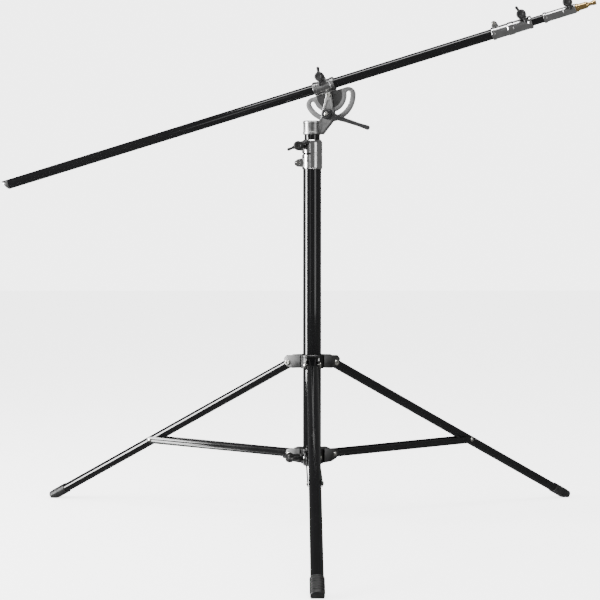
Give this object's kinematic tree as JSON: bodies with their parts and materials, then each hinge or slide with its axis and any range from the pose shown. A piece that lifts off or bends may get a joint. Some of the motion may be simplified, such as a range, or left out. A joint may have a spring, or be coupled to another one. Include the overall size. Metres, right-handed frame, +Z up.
{
  "type": "boom light stand",
  "caption": "Folding tripod light stand with a telescopic column and a swivelling, tilting head that clamps a sliding, telescopic boom with a brass lamp spigot.",
  "frame": {"origin": "middle of the spread stand's bounding box, on the floor", "axes": "+Z up; +X to the raised end of the boom, level; -Y the side of the front leg and of the clamp knobs"},
  "size_m": [1.5042, 1.2304, 1.2862],
  "materials": {
    "black_tube": "gloss black coated tube",
    "black_brace": "gloss black flat steel",
    "bright_casting": "polished chromed casting",
    "grey_casting": "satin grey casting",
    "tripod_casting": "dark grey satin casting",
    "satin_disc": "satin machined disc",
    "knob_plastic": "black moulded plastic",
    "plated_steel": "bright zinc plate",
    "brass_spigot": "turned brass",
    "rubber_foot": "black rubber",
    "end_plug": "black moulded plug",
    "guide_plastic": "pale low-friction plastic"
  },
  "bodies": {
    "column": {"column_tube": "black_tube", "column_end_plug": "end_plug", "column_guide_bush": "guide_plastic", "column_collar": "bright_casting", "column_collar_screw": "plated_steel", "column_clamp_nut": "plated_steel", "leg_collar": "tripod_casting", "leg_front_pivot_bolt": "plated_steel", "leg_right_pivot_bolt": "plated_steel", "leg_left_pivot_bolt": "plated_steel"},
    "column_knob": {"column_knob": "knob_plastic", "column_knob_bolt": "plated_steel"},
    "riser": {"riser_tube": "black_tube", "riser_guide": "guide_plastic"},
    "head": {"head_casting": "grey_casting", "tilt_pivot_bolt": "plated_steel", "tilt_pivot_nut": "plated_steel", "lever_stud": "plated_steel"},
    "lever": {"tilt_lever": "knob_plastic", "lever_cap_screw": "plated_steel"},
    "tilt": {"tilt_disc": "satin_disc", "boom_clamp": "grey_casting", "boom_clamp_nut": "plated_steel"},
    "boom_knob": {"boom_knob": "knob_plastic", "boom_knob_bolt": "plated_steel"},
    "boom": {"boom_tube": "black_tube", "boom_end_cap": "bright_casting", "boom_guide_bush": "guide_plastic", "joint_collar": "bright_casting", "joint_collar_screw": "plated_steel", "joint_clamp_nut": "plated_steel"},
    "joint_knob": {"joint_knob": "knob_plastic", "joint_knob_bolt": "plated_steel"},
    "boom_inner": {"boom_inner_tube": "black_tube", "end_clamp": "bright_casting", "end_clamp_nut": "plated_steel"},
    "end_knob": {"end_knob": "knob_plastic", "end_knob_bolt": "plated_steel"},
    "spigot": {"spigot": "brass_spigot"},
    "brace_collar": {"brace_collar": "tripod_casting", "brace_front_pin_near": "plated_steel", "brace_front_pin_far": "plated_steel", "brace_right_pin_near": "plated_steel", "brace_right_pin_far": "plated_steel", "brace_left_pin_near": "plated_steel", "brace_left_pin_far": "plated_steel"},
    "collar_knob": {"collar_knob": "knob_plastic", "collar_knob_bolt": "plated_steel"},
    "leg_front": {"leg_front_tube": "black_tube", "leg_front_foot": "rubber_foot"},
    "brace_front": {"brace_front_bar_near": "black_brace", "brace_front_bar_far": "black_brace"},
    "leg_right": {"leg_right_tube": "black_tube", "leg_right_foot": "rubber_foot"},
    "brace_right": {"brace_right_bar_near": "black_brace", "brace_right_bar_far": "black_brace"},
    "leg_left": {"leg_left_tube": "black_tube", "leg_left_foot": "rubber_foot"},
    "brace_left": {"brace_left_bar_near": "black_brace", "brace_left_bar_far": "black_brace"}
  },
  "joints": [
    {"name": "riser_slide", "type": "slide", "parent": "column", "child": "riser", "axis": [0, 0, 1], "range_m": [0, 0.6]},
    {"name": "head_swivel", "type": "hinge", "parent": "riser", "child": "head", "pos_m": [0.0435, 0.19786, 0.98], "axis": [0, 0, 1], "continuous": true},
    {"name": "boom_tilt", "type": "hinge", "parent": "head", "child": "tilt", "pos_m": [0.08612, 0.18692, 1.06], "axis": [-0.2487, -0.9686, 0], "range_deg": [-75, 29]},
    {"name": "lever_turn", "type": "hinge", "parent": "head", "child": "lever", "pos_m": [0.08612, 0.18692, 1.013], "axis": [-0.2487, -0.9686, 0], "range_deg": [-25, 40]},
    {"name": "boom_slide", "type": "slide", "parent": "tilt", "child": "boom", "axis": [0.9318, -0.2392, 0.273], "range_m": [-0.3, 0.45]},
    {"name": "boom_extend", "type": "slide", "parent": "boom", "child": "boom_inner", "axis": [0.9318, -0.2392, 0.273], "range_m": [0, 0.55]},
    {"name": "spigot_pull", "type": "slide", "parent": "boom_inner", "child": "spigot", "axis": [0.9318, -0.2392, 0.273], "range_m": [0, 0.045]},
    {"name": "column_knob_turn", "type": "hinge", "parent": "column", "child": "column_knob", "pos_m": [0.009, 0.19006, 0.937], "axis": [0, -1, 0], "range_deg": [0, 360]},
    {"name": "boom_knob_turn", "type": "hinge", "parent": "tilt", "child": "boom_knob", "pos_m": [0.06478, 0.1924, 1.10468], "axis": [-0.2487, -0.9686, 0], "range_deg": [0, 360]},
    {"name": "joint_knob_turn", "type": "hinge", "parent": "boom", "child": "joint_knob", "pos_m": [0.53946, 0.07052, 1.24217], "axis": [-0.2487, -0.9686, 0], "range_deg": [0, 360]},
    {"name": "end_knob_turn", "type": "hinge", "parent": "boom_inner", "child": "end_knob", "pos_m": [0.64422, 0.04362, 1.26766], "axis": [-0.2487, -0.9686, 0], "range_deg": [0, 360]},
    {"name": "leg_front_fold", "type": "hinge", "parent": "column", "child": "leg_front", "pos_m": [0.0435, 0.13786, 0.402], "axis": [1, 0, 0], "range_deg": [0, 60]},
    {"name": "leg_right_fold", "type": "hinge", "parent": "column", "child": "leg_right", "pos_m": [0.09546, 0.22786, 0.402], "axis": [-0.5, 0.866, 0], "range_deg": [0, 60]},
    {"name": "leg_left_fold", "type": "hinge", "parent": "column", "child": "leg_left", "pos_m": [-0.00846, 0.22786, 0.402], "axis": [-0.5, -0.866, 0], "range_deg": [0, 60]},
    {"name": "brace_collar_slide", "type": "slide", "parent": "column", "child": "brace_collar", "axis": [0, 0, 1], "range_m": [0, 0.177]},
    {"name": "collar_knob_turn", "type": "hinge", "parent": "brace_collar", "child": "collar_knob", "pos_m": [0.0112, 0.17921, 0.1715], "axis": [-0.866, -0.5, 0], "range_deg": [0, 360]},
    {"name": "brace_front_swing", "type": "hinge", "parent": "brace_collar", "child": "brace_front", "pos_m": [0.0435, 0.14286, 0.175], "axis": [1, 0, 0], "range_deg": [0, 88]},
    {"name": "brace_right_swing", "type": "hinge", "parent": "brace_collar", "child": "brace_right", "pos_m": [0.09113, 0.22536, 0.175], "axis": [-0.5, 0.866, 0], "range_deg": [0, 88]},
    {"name": "brace_left_swing", "type": "hinge", "parent": "brace_collar", "child": "brace_left", "pos_m": [-0.00413, 0.22536, 0.175], "axis": [-0.5, -0.866, 0], "range_deg": [0, 88]}
  ],
  "couplings": [
    {"joint": "leg_right_fold", "follows": "leg_front_fold", "ratio": 1},
    {"joint": "leg_left_fold", "follows": "leg_front_fold", "ratio": 1},
    {"joint": "brace_collar_slide", "follows": "leg_front_fold", "m_per_rad": 0.16864},
    {"joint": "brace_front_swing", "follows": "leg_front_fold", "ratio": 1.464},
    {"joint": "brace_right_swing", "follows": "leg_front_fold", "ratio": 1.464},
    {"joint": "brace_left_swing", "follows": "leg_front_fold", "ratio": 1.464}
  ]
}
